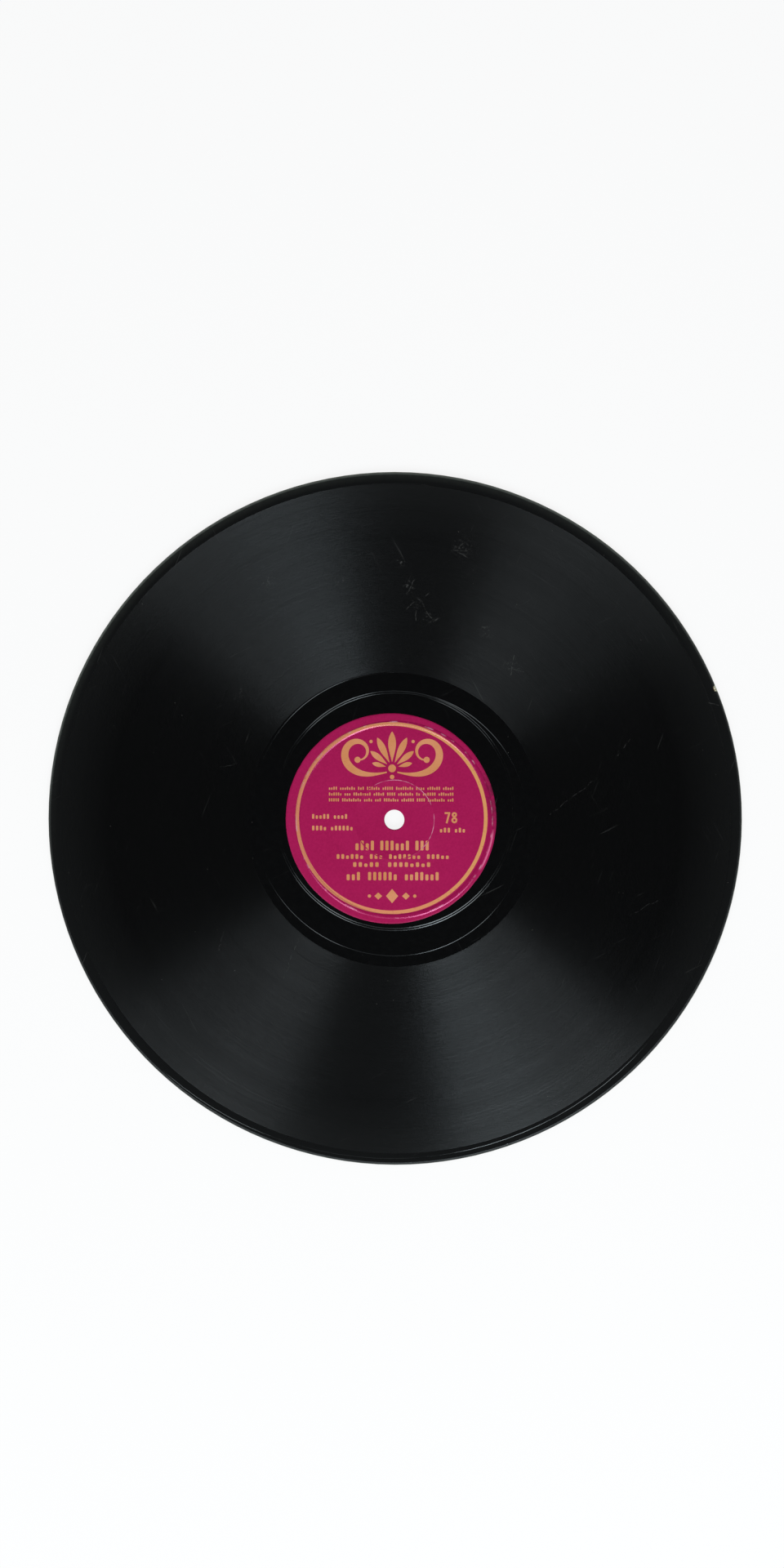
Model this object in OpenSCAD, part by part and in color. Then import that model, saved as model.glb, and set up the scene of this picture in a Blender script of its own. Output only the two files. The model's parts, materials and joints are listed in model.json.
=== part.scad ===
// A ten inch laminated shellac record for 78 turns a minute, lying flat with side A up.
// The origin is on the axis of the spindle hole, in the plane that side B rests on.
// Side B is side A turned over about the Y axis, so both sides read upright with +Y at the top.

/* [Disc] */
// Outer diameter of the disc
disc_d = 250.8; // [240:0.1:305]
// Thickness of the disc from playing surface to playing surface
disc_t = 2.2; // [1.9:0.05:3]
// Diameter of the spindle hole
hole_d = 7.264; // [7:0.001:8]

/* [Layers] */
// Thickness of each shellac facing
facing_t = 0.35; // [0.3:0.01:0.5]
// Thickness of each kraft sheet between the core and a facing
paper_t = 0.12; // [0.05:0.01:0.2]
// Width of the core left bare of kraft paper at the rim
paper_inset = 0.8; // [0.8:0.1:10]

/* [Label] */
// Diameter of each paper label
label_d = 76.2; // [74:0.1:78]
// Thickness of the label paper
label_t = 0.1; // [0.05:0.01:0.12]
// Depth of the label's seat below the playing surface
seat_depth = 0.2; // [0.18:0.01:0.25]
// Gap between the edge of the label and the wall of its seat
seat_gap = 0.05; // [0.02:0.01:0.1]
// How far the label was laid to the left of the spindle axis
label_left = 1.2; // [0:0.1:1.5]
// How far the label was laid above the spindle axis
label_up = 0.4; // [0:0.1:1]

/* [Pressed rings] */
// Distance of the middle of the ridge pressed up under the label from the label's edge
ridge_inset = 2.9; // [2.7:0.1:6]
// Width of that ridge at its foot
ridge_w = 1.2; // [0.6:0.1:2]
// Height of that ridge
ridge_h = 0.08; // [0.03:0.01:0.09]
// Middle diameter of the fine ring pressed round the hole
ring_d = 28.8; // [20:0.1:40]
// Width of that fine ring at its foot
ring_w = 0.5; // [0.3:0.1:1]
// Height of that fine ring
ring_h = 0.04; // [0.02:0.01:0.06]

/* [Groove] */
// Width of the groove at the surface
groove_w = 0.16; // [0.1:0.01:0.3]
// Angle between the two walls of the groove
groove_angle = 88; // [80:1:110]
// Width of the plain margin between the rim and the recording
margin_w = 4.2; // [4:0.1:6]
// Angle at which the lead-in groove starts in that margin, counter-clockwise from +X
lead_in_start = 200; // [195:1:260]
// Least distance from the spindle axis at which the recording ends
band_inner = 53.1; // [52:0.1:60]
// Distance between turns of the recording, drawn at eight times that of a real disc
band_pitch = 2.12; // [1.92:0.04:6]
// Distance from the spindle axis of the lead-out groove, half a turn after the recording
lead_out_middle = 49.4; // [48.6:0.1:51]

/* [Stop groove] */
// Diameter of the off-centre groove that stops the changer, at its outermost turn
stop_d = 86.6; // [85.6:0.1:87.6]
// Distance of its centre above the spindle axis
stop_offset = 3.1; // [2.8:0.1:3.3]
// Number of turns that it has
stop_turns = 3; // [1:1:3]
// Distance between those turns
stop_pitch = 0.55; // [0.4:0.01:0.6]

/* [Hidden] */
$fn = 96;

disc_r = disc_d / 2;
hole_r = hole_d / 2;
rim_r = disc_t / 2;
label_r = label_d / 2;
paper_r = disc_r - paper_inset;
facing_under = disc_t - facing_t;
paper_under = facing_under - paper_t;
seat_floor = disc_t - seat_depth;
label_top = seat_floor + label_t;
ridge_d = label_d - 2 * ridge_inset;

// The groove is one chain of half turns, from the rim to the closed stop groove. A half turn
// on the left runs from a crossing of the +Y axis to one of the -Y axis, and the next one, on
// the right, runs back up, so that it starts where the last one ends and in its direction.
// Each list holds the distances of such crossings from the spindle axis.
band_outer = disc_r - margin_w;
band_turns = floor((band_outer - band_inner) / band_pitch);
band_tops = [for (turn = [0 : band_turns]) band_outer - turn * band_pitch];
band_feet = [for (turn = [0 : band_turns - 1]) band_outer - (turn + 0.5) * band_pitch];
lead_in_foot = disc_r - margin_w / 2;
stop_tops = [for (turn = [0 : stop_turns - 1]) stop_d / 2 + stop_offset - turn * stop_pitch];
stop_feet = [for (turn = [0 : stop_turns - 1]) stop_d / 2 - stop_offset - (turn + 0.5) * stop_pitch];
stop_closed_r = stop_d / 2 - (stop_turns - 1) * stop_pitch;

groove_flank = tan(groove_angle / 2);
groove_depth = groove_w / 2 / groove_flank;
// Height above the surface at which the groove cutters are joined
cutter_rise = 0.05;
// Length by which the hole and the seat are cut past the faces that they open
cut_past = 1;

function first(list, count) = [for (i = [0 : 1 : count - 1]) list[i]];
function rest(list) = [for (i = [1 : 1 : len(list) - 1]) list[i]];

// Half section of the whole pressed disc, with its full round rim
module disc_section() {
    translate([hole_r, 0]) square([disc_r - rim_r - hole_r, disc_t]);
    translate([disc_r - rim_r, rim_r]) circle(r = rim_r);
}

// What the disc holds between two heights, from the hole out to a radius
module layer(low, high, outer_r) {
    rotate_extrude() intersection() {
        disc_section();
        translate([hole_r, low]) square([outer_r - hole_r, high - low]);
    }
}

module turned_over() {
    translate([0, 0, disc_t]) rotate([0, 180, 0]) children();
}

module at_label_centre(height) {
    translate([-label_left, label_up, height]) children();
}

// Low flat-topped ring with sloping sides
module pressed_ring(d, w, h) {
    middle_r = d / 2;
    crown = w / 3;
    rotate_extrude() polygon([
        [middle_r - w / 2, 0],
        [middle_r - crown / 2, h],
        [middle_r + crown / 2, h],
        [middle_r + w / 2, 0]
    ]);
}

module pressed_rings(height) {
    translate([0, 0, height]) {
        pressed_ring(ridge_d, ridge_w, ridge_h);
        pressed_ring(ring_d, ring_w, ring_h);
    }
}

// Toothed section that cuts a groove at each radius, from the outermost inwards
module groove_section(radii) {
    bottom = disc_t - groove_depth;
    top = disc_t + cutter_rise;
    reach = (groove_depth + cutter_rise) * groove_flank;
    polygon(concat(
        [[radii[0] + reach, top + cutter_rise]],
        [for (r = radii) each [[r + reach, top], [r, bottom], [r - reach, top]]],
        [[radii[len(radii) - 1] - reach, top + cutter_rise]]
    ));
}

// Cutter for half turns about one centre, where each crosses the +Y axis at one of tops
// and the -Y axis at one of feet
module half_turns(tops, feet, from, sweep = 180) {
    centre_y = (tops[0] - feet[0]) / 2;
    radii = [for (i = [0 : len(feet) - 1]) (tops[i] + feet[i]) / 2];
    translate([0, centre_y, 0]) rotate([0, 0, from]) rotate_extrude(angle = sweep) groove_section(radii);
}

module groove_left() {
    half_turns([disc_r], [lead_in_foot], lead_in_start, 270 - lead_in_start);
    half_turns(first(band_tops, band_turns), band_feet, 90);
    half_turns([band_tops[band_turns]], [lead_out_middle], 90);
    if (stop_turns > 1) half_turns(first(stop_tops, stop_turns - 1), first(stop_feet, stop_turns - 1), 90);
}

module groove_right() {
    half_turns([band_tops[0]], [lead_in_foot], 270);
    half_turns(rest(band_tops), band_feet, 270);
    half_turns([stop_tops[0]], [lead_out_middle], 270);
    if (stop_turns > 1) half_turns(rest(stop_tops), first(stop_feet, stop_turns - 1), 270);
}

module stop_closed() {
    translate([0, stop_offset, 0]) rotate_extrude() groove_section([stop_closed_r]);
}

module facing() {
    difference() {
        difference() {
            union() {
                difference() {
                    layer(facing_under, disc_t, disc_r);
                    at_label_centre(seat_floor) cylinder(r = label_r + seat_gap, h = seat_depth + cut_past);
                }
                pressed_rings(seat_floor);
            }
            groove_left();
        }
        groove_right();
        stop_closed();
    }
}

// The paper has the facing's rings pressed through it
module label() {
    difference() {
        union() {
            at_label_centre(seat_floor) cylinder(r = label_r, h = label_t);
            pressed_rings(label_top);
        }
        pressed_rings(seat_floor);
        translate([0, 0, seat_floor - cut_past]) cylinder(r = hole_r, h = label_t + 2 * cut_past);
    }
}

module core() {
    color("#3a332c") difference() {
        layer(facing_t, facing_under, disc_r);
        paper();
        turned_over() paper();
    }
}

module paper() {
    layer(paper_under, facing_under, paper_r);
}

module paper_a() {
    color("#b08d5f") paper();
}

module paper_b() {
    color("#b08d5f") turned_over() paper();
}

module facing_a() {
    color("#17181b") facing();
}

module facing_b() {
    color("#17181b") turned_over() facing();
}

module label_a() {
    color("#a8145a") label();
}

module label_b() {
    color("#a8145a") turned_over() label();
}

core();
paper_a();
paper_b();
facing_a();
facing_b();
label_a();
label_b();
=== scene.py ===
"""Looks of a ten inch laminated shellac record for 78 turns a minute, lying flat with side A up."""
import json
import random
from math import acos, cos, degrees, floor as whole, hypot, pi, radians, sin, sqrt, tan

import bpy
import numpy as np
from mathutils import Euler, Matrix, Vector, noise

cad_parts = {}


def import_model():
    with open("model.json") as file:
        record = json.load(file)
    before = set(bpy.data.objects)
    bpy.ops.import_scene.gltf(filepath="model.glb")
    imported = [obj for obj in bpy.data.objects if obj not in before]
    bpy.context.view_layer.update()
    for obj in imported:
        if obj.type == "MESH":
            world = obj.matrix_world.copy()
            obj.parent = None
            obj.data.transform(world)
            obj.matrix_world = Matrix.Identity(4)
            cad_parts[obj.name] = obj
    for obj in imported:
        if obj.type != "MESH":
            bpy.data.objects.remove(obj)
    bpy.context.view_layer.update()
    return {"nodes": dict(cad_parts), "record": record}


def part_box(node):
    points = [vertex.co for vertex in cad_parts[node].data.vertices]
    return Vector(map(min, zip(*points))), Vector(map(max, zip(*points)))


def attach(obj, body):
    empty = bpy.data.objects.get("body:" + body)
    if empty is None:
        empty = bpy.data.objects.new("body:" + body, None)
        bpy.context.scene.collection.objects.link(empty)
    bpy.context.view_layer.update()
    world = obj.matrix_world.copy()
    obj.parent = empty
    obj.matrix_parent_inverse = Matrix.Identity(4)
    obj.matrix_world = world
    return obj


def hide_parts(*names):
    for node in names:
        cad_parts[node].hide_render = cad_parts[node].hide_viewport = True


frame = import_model()

MM = 0.001

# Sizes taken from the frame, in millimetres
core_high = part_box("core")[1] / MM
facing_low, facing_high = [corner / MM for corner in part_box("facing_a")]
label_low, label_high = [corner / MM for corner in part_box("label_a")]
hole = next(mount for mount in frame["record"]["mounts"] if mount["kind"] == "bore")

DISC_R = core_high.x
DISC_T = facing_high.z
RIM_R = DISC_T / 2
FACING_UNDER = facing_low.z
HOLE_R = hole["dims"]["r_mm"]
LABEL_R = (label_high.x - label_low.x) / 2
LABEL_X = (label_high.x + label_low.x) / 2
LABEL_Y = (label_high.y + label_low.y) / 2
SEAT_FLOOR = label_low.z

# Sizes that the frame holds as shapes, in millimetres, with the pressed rings as radius, width and height
SEAT_GAP = 0.05
LABEL_T = 0.1
RIDGE_R, RIDGE_W, RIDGE_H = 35.2, 1.2, 0.08
RING_R, RING_W, RING_H = 14.4, 0.5, 0.04

# The groove, in millimetres, with the recording at its real pitch. The others are wider, and the lead-out
# widens over so many degrees where the recording ends.
GROOVE_W = 0.16
LEAD_IN_W = 0.34
WIDE_GROOVE_W = 0.34
TAPER = 40
GROOVE_ANGLE = 88
GROOVE_DEPTH = GROOVE_W / 2 / tan(radians(GROOVE_ANGLE / 2))
MARGIN_W = 4.2
BAND_OUTER = DISC_R - MARGIN_W
BAND_INNER = 53.1
BAND_PITCH = 25.4 / 96
LEAD_OUT_MIDDLE = 49.4

# The lead-in starts in the margin, so far outside the recording's spiral, and meets it past the +X axis. Its
# distance goes with this power of the angle left. It sinks in over a few degrees and thins over more.
LEAD_IN_START, LEAD_IN_MET = 228, 400
LEAD_IN_OUT = 2.64
LEAD_IN_POWER = 1.5
LEAD_IN_FADE = 4
LEAD_IN_TAPER = 60

# The stop groove is one turn about a centre above the axis and a closed ring inside it, to which the turn
# moves over in its last degrees. Styli have pushed its bottom outwards, by this share of half its width.
STOP_R = 43.3
STOP_OFFSET = 3.1
STOP_PITCH = 0.75
STOP_CHANGE = 30
STOP_W = 0.46
STOP_LEAN = 0.2

# Columns round the disc, parts of each at the rim, and lines of each turn of the groove. Each turn runs on
# into the next at +Y. Where it isn't cut yet, its edges lie this share of its width apart.
COLUMNS, RIM_SPLIT, LINES = 112, 4, 3
UNCUT_SHARE = 0.3
SEAM = 90

# Lines of the facing's rounded rim, and one close inside it that keeps its shading off the margin
RIM_LINES = 6
FLAT_R = DISC_R - RIM_R
EDGE_R = FLAT_R - 0.05


def polar(radius, angle):
    turn = radians(angle)
    return radius * cos(turn), radius * sin(turn)


def add_object(name, data):
    made = bpy.data.objects.new(name, data)
    bpy.context.scene.collection.objects.link(made)
    return made


def new_mesh(name, points, faces, materials):
    mesh = bpy.data.meshes.new(name)
    mesh.from_pydata(points, [], faces)
    for material in materials:
        mesh.materials.append(material)
    return mesh


# Paths of the groove

def half_turn(angle, up, down):
    """Distance from the axis of the half circle that crosses +Y at up and -Y at down."""
    middle, radius = (up - down) / 2, (up + down) / 2
    turn = radians(angle)
    return middle * sin(turn) + sqrt(radius**2 - (middle * cos(turn)) ** 2)


def groove_crossings():
    """Distances from the axis at which the recording and the lead-out cross +Y and -Y by turns."""
    turns = whole((BAND_OUTER - BAND_INNER) / BAND_PITCH)
    band = [BAND_OUTER - half * BAND_PITCH / 2 for half in range(2 * turns + 1)]
    return [*band, LEAD_OUT_MIDDLE, STOP_R + STOP_OFFSET], turns


# The turns are the lead-in, those of the band, the lead-out and the stop groove's own
CROSSINGS, BAND_TURNS = groove_crossings()
LEAD_OUT = BAND_TURNS + 1
STOP_TURN = BAND_TURNS + 2
TURNS = STOP_TURN + 1


def off_centre(angle, radius, x, y):
    """Distance from the axis, at an angle, of a circle about the point x, y."""
    turn = radians(angle)
    along = x * cos(turn) + y * sin(turn)
    across = x * sin(turn) - y * cos(turn)
    return along + sqrt(radius**2 - across**2)


def groove_path(turn, column):
    angle = SEAM + 360 * column / COLUMNS
    if turn == 0:
        left = max(0, LEAD_IN_MET - angle) / (LEAD_IN_MET - LEAD_IN_START)
        return BAND_OUTER + (1 - column / COLUMNS) * BAND_PITCH + LEAD_IN_OUT * left**LEAD_IN_POWER
    if turn == STOP_TURN:
        share = max(0, 1 - (COLUMNS - column) * 360 / COLUMNS / STOP_CHANGE)
        return off_centre(angle, STOP_R - STOP_PITCH * share**2 * (3 - 2 * share), 0, STOP_OFFSET)
    start, foot, end = CROSSINGS[2 * turn - 2:2 * turn + 1]
    return half_turn(angle, start if column < COLUMNS / 2 else end, foot)


class Shell:
    """A closed mesh made of lines that each run once round the axis.

    A line has a cell for each column: the numbers of its vertices from that column to the next. The lines
    of a spiral end where a later line starts, so the last column runs down the seam from line to line."""

    def __init__(self):
        self.points = []
        self.sharp = []
        self.faces = []
        self.face_materials = []

    def point(self, x, y, z, sharp):
        self.points.append((x, y, z))
        self.sharp.append(sharp)
        return len(self.points) - 1

    def line(self, shape, sharp=False, shared=None, angles=None):
        """Vertices of one line. shape(angle) gives radius and height, shared holds vertices by column."""
        row = []
        for column in range(COLUMNS):
            if shared and column in shared:
                row.append([shared[column]])
                continue
            here = angles[column] if angles else [SEAM + 360 * column / COLUMNS]
            cell = []
            for angle in here:
                radius, height = shape(angle)
                cell.append(self.point(*polar(radius, angle), height, sharp))
            row.append(cell)
        return row

    def strip(self, outer, inner, material, seam=(), outer_end=None, inner_end=None):
        """Faces between two lines, the outer one first as seen from the side that the faces look to."""
        ends = (outer_end or outer[0][0], inner_end or inner[0][0])
        for column in range(COLUMNS):
            last = column == COLUMNS - 1
            a = outer[column] + [ends[0] if last else outer[column + 1][0]]
            b = inner[column] + [ends[1] if last else inner[column + 1][0]]
            between = list(seam) if last else []
            if len(a) == len(b) and not between:
                for i in range(len(a) - 1):
                    self.face([a[i], a[i + 1], b[i + 1], b[i]], material)
            else:
                self.face(a + between + b[::-1], material)

    def face(self, corners, material):
        """A face without the corners that repeat the one before them."""
        kept = [c for i, c in enumerate(corners) if c != corners[i - 1]]
        if len(kept) > 2:
            self.faces.append(kept)
            self.face_materials.append(material)

    def object(self, name, materials, side):
        mesh = new_mesh(name, [side_place(side, p) for p in self.points], self.faces, materials)
        mesh.polygons.foreach_set("material_index", self.face_materials)
        mesh.polygons.foreach_set("use_smooth", [True] * len(self.faces))
        mark_sharp(mesh, np.array(self.sharp))
        mesh.update()
        return add_object(name, mesh)


def side_place(side, point):
    """A point of side A in metres, or the same point of the disc turned over about the Y axis."""
    x, y, z = point
    if side == "b":
        x, z = -x, DISC_T - z
    return x * MM, y * MM, z * MM


# Edges that turn less than this round the axis run across the lines
LEAST_TURN = 1e-5


def mark_sharp(mesh, sharp_points):
    """Marks the edges that run along sharp lines, so that the shading breaks there."""
    pairs = np.zeros(len(mesh.edges) * 2, int)
    mesh.edges.foreach_get("vertices", pairs)
    pairs = pairs.reshape(-1, 2)
    places = np.zeros(len(mesh.vertices) * 3)
    mesh.vertices.foreach_get("co", places)
    angle = np.arctan2(*places.reshape(-1, 3)[:, 1::-1].T)
    along = np.abs(angle[pairs[:, 0]] - angle[pairs[:, 1]]) > LEAST_TURN
    marked = sharp_points[pairs].all(1) & along
    mesh.attributes.new("sharp_edge", "BOOLEAN", "EDGE").data.foreach_set("value", marked)


# Flaws of the rim

# Nicks as (how many, first and last angle, limits of the half width and of the depth), and the chip as
# (angle, half width, depth), which no nick comes close to
NICKS = ((34, 0, 360, 0.25, 0.7, 0.03, 0.12), (9, 60, 110, 0.3, 0.9, 0.06, 0.16))
CHIP, CHIP_CLEAR = (22.3, 1.15, 0.66), 2

# A flaw as deep as this is a chip. Then how ragged it is, the power that rounds it, the share of it by which
# the shellac above sinks, and inset and size of the broken face.
CHIP_DEPTH = 0.3
RAGGED, RAGGED_WAVES, FLAW_POWER, FLAW_DROP = 0.22, 7.3, 0.6, 0.5
BROKEN_INSET, BROKEN_SHARE = 0.45, 0.82

# Places of the rim's extra columns across a flaw, and the least angle between two columns
FLAW_STEPS = (-1, -0.75, -0.5, -0.25, 0, 0.25, 0.5, 0.75, 1)
LEAST_STEP, TINY = 0.02, 1e-9


def rim_flaws(seed, chip=None):
    """Nicks as (angle, half width, depth) in degrees and millimetres, and the chip if the side has it."""
    draw = random.Random(seed)
    nicks = []
    for count, first, last, thin, wide, shallow, deep in NICKS:
        for _ in range(count):
            nicks.append((draw.uniform(first, last), draw.uniform(thin, wide), draw.uniform(shallow, deep)))
    if chip:
        nicks = [nick for nick in nicks if abs(nick[0] - chip[0]) > CHIP_CLEAR] + [chip]
    return nicks


def rim_angles(flaws):
    """Angles of the rim's columns in each cell: an even split, and closer ones at each flaw."""
    step = 360 / COLUMNS
    angles = [SEAM + step * i / RIM_SPLIT for i in range(COLUMNS * RIM_SPLIT)]
    for centre, half, _ in flaws:
        angles += [centre + degrees(half * part / DISC_R) for part in FLAW_STEPS]
    angles = sorted(set((angle - SEAM) % 360 for angle in angles))
    kept = [angles[0]]
    for angle in angles[1:]:
        if angle - kept[-1] >= LEAST_STEP:
            kept.append(angle)
        elif abs(angle / step - round(angle / step)) < TINY:
            kept[-1] = angle
    cells = [[] for _ in range(COLUMNS)]
    for angle in kept:
        cells[min(COLUMNS - 1, whole(angle / step + TINY))].append(SEAM + angle)
    return cells


def flaw_push(angle, flaws):
    """How far the flaws push the rim inwards at an angle, in millimetres."""
    push = 0
    for centre, half, depth in flaws:
        apart = radians((angle - centre + 180) % 360 - 180) * DISC_R / half
        if abs(apart) < 1:
            ragged = 1 + RAGGED * sin(RAGGED_WAVES * apart + centre) * min(1, depth / CHIP_DEPTH)
            push = max(push, depth * ragged * (1 - apart**2) ** FLAW_POWER)
    return push


def rim_line(part, flaws):
    """Shape of one line of the rounded rim, from 0 at the underside of the facing to 1 at its flat top."""
    lowest = acos((FACING_UNDER - RIM_R) / RIM_R)
    tilt = lowest * (1 - part)

    def shape(angle):
        push = flaw_push(angle, flaws) * sqrt(1 - part) if part < 1 else 0
        drop = 0 if part in (0, 1) else push * FLAW_DROP * cos(tilt)
        return FLAT_R + RIM_R * sin(tilt) - push, RIM_R + RIM_R * cos(tilt) - drop

    return shape


# The facing

SMOOTH, GROOVED, BURNISHED, BROKEN = range(4)


def flat(radius, height):
    return lambda angle: (radius, height)


# Section of a low pressed ring in shares of its width and height, from the outside inwards
RING_SECTION = ((0.5, 0), (0.3, 0.62), (0.1, 1), (-0.1, 1), (-0.3, 0.62), (-0.5, 0))


def ring_lines(middle, width, height, base):
    return [(middle + across * width, base + up * height) for across, up in RING_SECTION]


def flat_rings(base, share):
    """Lines of both pressed rings, with a share of their height."""
    places = ring_lines(RIDGE_R, RIDGE_W, RIDGE_H * share, base)
    places += ring_lines(RING_R, RING_W, RING_H * share, base)
    return [flat(*place) for place in places]


def facing_shell(flaws):
    """The facing with its rim, the whole groove, the label's seat and the hole."""
    shell = Shell()
    start_column = (LEAD_IN_START - SEAM) / 360 * COLUMNS
    start_r = groove_path(0, start_column)

    def cut(turn, column):
        if turn > 0:
            return 1
        return min(1, max(0, (column - start_column) * 360 / COLUMNS / LEAD_IN_FADE))

    def column_of(angle):
        return round((angle - SEAM) / 360 * COLUMNS)

    def groove_width(turn, column):
        turned = 360 * column / COLUMNS
        if turn == 0:
            left = max(0, LEAD_IN_MET - SEAM - turned)
            return GROOVE_W + (LEAD_IN_W - GROOVE_W) * min(1, left / LEAD_IN_TAPER)
        if turn <= BAND_TURNS:
            return GROOVE_W
        if turn == LEAD_OUT:
            first = (WIDE_GROOVE_W - GROOVE_W) * min(1, turned / TAPER)
            second = (STOP_W - WIDE_GROOVE_W) * max(0, 1 - 2 * (360 - turned) / STOP_CHANGE)
            return GROOVE_W + first + second
        return STOP_W

    def groove_line(turn, part):
        def shape(angle):
            column = column_of(angle)
            deep = cut(turn, column)
            width = groove_width(turn, column)
            depth = GROOVE_DEPTH * deep * max(1, width / WIDE_GROOVE_W)
            across = STOP_LEAN if turn == STOP_TURN and part == 0 else part * max(deep, UNCUT_SHARE)
            radius = min(groove_path(turn, column), start_r) + across * width / 2
            return radius, DISC_T - (depth if part == 0 else 0)
        return shape

    def closed_r(angle):
        return off_centre(angle, STOP_R - STOP_PITCH, 0, STOP_OFFSET)

    stop_depth = GROOVE_DEPTH * STOP_W / WIDE_GROOVE_W

    angles = rim_angles(flaws)
    rim = [shell.line(rim_line(i / RIM_LINES, flaws), i == 0, angles=angles) for i in range(RIM_LINES + 1)]
    edge = shell.line(flat(EDGE_R, DISC_T))

    # Lines of each turn: the outer edge, the bottom and the inner edge of the groove
    spiral = []
    for turn in range(TURNS):
        for part in (1, 0, -1):
            if turn == TURNS - 1 and part == -1:
                continue
            inside = 1 <= turn <= BAND_TURNS and (turn, part) not in ((1, 1), (BAND_TURNS, -1))
            spiral.append(shell.line(groove_line(turn, part), not inside))

    # Where the last turn nears the closed ring, the wall between them sinks to a ridge and ends
    ridge = {}
    for column in range(1, COLUMNS):
        angle = SEAM + 360 * column / COLUMNS
        apart = groove_path(STOP_TURN, column) - closed_r(angle)
        if apart < STOP_W:
            middle = closed_r(angle) + apart / 2
            height = DISC_T - stop_depth * (1 - apart / STOP_W)
            ridge[column] = shell.point(*polar(middle, angle), height, True)
    spiral.append(shell.line(groove_line(STOP_TURN, -1), True, shared=ridge))
    closed = [
        shell.line(lambda angle: (closed_r(angle) + STOP_W / 2, DISC_T), True, shared=ridge),
        shell.line(lambda angle: (closed_r(angle) + STOP_LEAN * STOP_W / 2, DISC_T - stop_depth), True),
        shell.line(lambda angle: (closed_r(angle) - STOP_W / 2, DISC_T), True),
    ]

    def seat_r(angle):
        return off_centre(angle, LABEL_R + SEAT_GAP, LABEL_X, LABEL_Y)

    seat = [
        shell.line(lambda angle: (seat_r(angle), DISC_T), True),
        shell.line(lambda angle: (seat_r(angle), SEAT_FLOOR), True),
    ]
    pressed = [shell.line(shape) for shape in flat_rings(SEAT_FLOOR, 1)]
    hole_lines = [shell.line(flat(HOLE_R, SEAT_FLOOR), True), shell.line(flat(HOLE_R, FACING_UNDER), True)]

    # The rim and the margin
    for i in range(RIM_LINES):
        shell.strip(rim[i], rim[i + 1], SMOOTH)
    shell.strip(rim[-1], edge, SMOOTH)

    # From the edge line inwards to the seat, with the seam as the chain of the lines' first vertices. A line
    # of the groove ends where that of the next turn or the closed ring starts, others where they started.
    chart = [edge, *spiral, *closed, seat[0]]
    seam = [row[0][0] for row in chart]
    count = len(spiral)
    ends = [0, *range(LINES + 1, count + LINES + 1), *range(count + 1, count + LINES + 2)]
    ends[count - 2] = count + 1
    ends[count - 1] = ends[count] = ends[count + 1] = count + 2
    stop_first = LINES * STOP_TURN + 1
    for i in range(len(chart) - 1):
        material = GROOVED if LINES < i < LINES * LEAD_OUT else SMOOTH
        if i in (stop_first, stop_first + 1, stop_first + LINES, stop_first + LINES + 1):
            material = BURNISHED
        shell.strip(chart[i], chart[i + 1], material, seam[ends[i] + 1:ends[i + 1]],
                    seam[ends[i]], seam[ends[i + 1]])

    inner = [*seat, *pressed, *hole_lines]
    for outer_line, inner_line in zip(inner, inner[1:]):
        shell.strip(outer_line, inner_line, SMOOTH)
    shell.strip(hole_lines[1], rim[0], SMOOTH)

    mark_broken(shell, flaws)
    return shell


def mark_broken(shell, flaws):
    """Gives the faces of a chip the look of broken shellac, apart from the long ones."""
    for centre, half, depth in flaws:
        if depth < CHIP_DEPTH:
            continue
        chip_x, chip_y = polar(DISC_R - BROKEN_INSET, centre)
        for i, corners in enumerate(shell.faces):
            x, y, _ = np.mean([shell.points[c] for c in corners], 0)
            if len(corners) <= 4 and hypot(x - chip_x, y - chip_y) < half * BROKEN_SHARE:
                shell.face_materials[i] = BROKEN


# Materials

# Nearly all of a noise lies between these values
NOISE_SPAN = (0.3, 0.7)


class Nodes:
    """The nodes of a material or of the world, and short calls for them."""

    def __init__(self, data):
        data.use_nodes = True
        self.data = data
        self.tree = data.node_tree

    def node(self, kind, sockets=None, **settings):
        made = self.tree.nodes.new(kind)
        for name, value in settings.items():
            setattr(made, name, value)
        for name, value in (sockets or {}).items():
            self.set(made.inputs[name], value)
        return made

    def set(self, socket, value):
        if isinstance(value, bpy.types.NodeSocket):
            self.tree.links.new(value, socket)
        else:
            socket.default_value = value

    def maths(self, operation, a, b=0.0, clamp=False):
        return self.node("ShaderNodeMath", {0: a, 1: b}, operation=operation, use_clamp=clamp).outputs[0]

    def plus(self, a, b):
        return self.maths("ADD", a, b)

    def times(self, a, b):
        return self.maths("MULTIPLY", a, b)

    def apart(self, a, b):
        return self.maths("ABSOLUTE", self.maths("SUBTRACT", a, b))

    def vector(self, operation, a, b=None, output="Vector"):
        sockets = {0: a} if b is None else {0: a, 1: b}
        return self.node("ShaderNodeVectorMath", sockets, operation=operation).outputs[output]

    def measure(self, operation, a, b=None):
        """A vector operation that gives a number."""
        return self.vector(operation, a, b, "Value")

    def remap(self, value, low, high, to_low=0.0, to_high=1.0, smooth=False):
        kind = "SMOOTHSTEP" if smooth else "LINEAR"
        sockets = {"Value": value, "From Min": low, "From Max": high, "To Min": to_low, "To Max": to_high}
        return self.node("ShaderNodeMapRange", sockets, interpolation_type=kind).outputs["Result"]

    def spread(self, noisy, to_low=0.0, to_high=1.0):
        return self.remap(noisy, *NOISE_SPAN, to_low, to_high)


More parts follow.
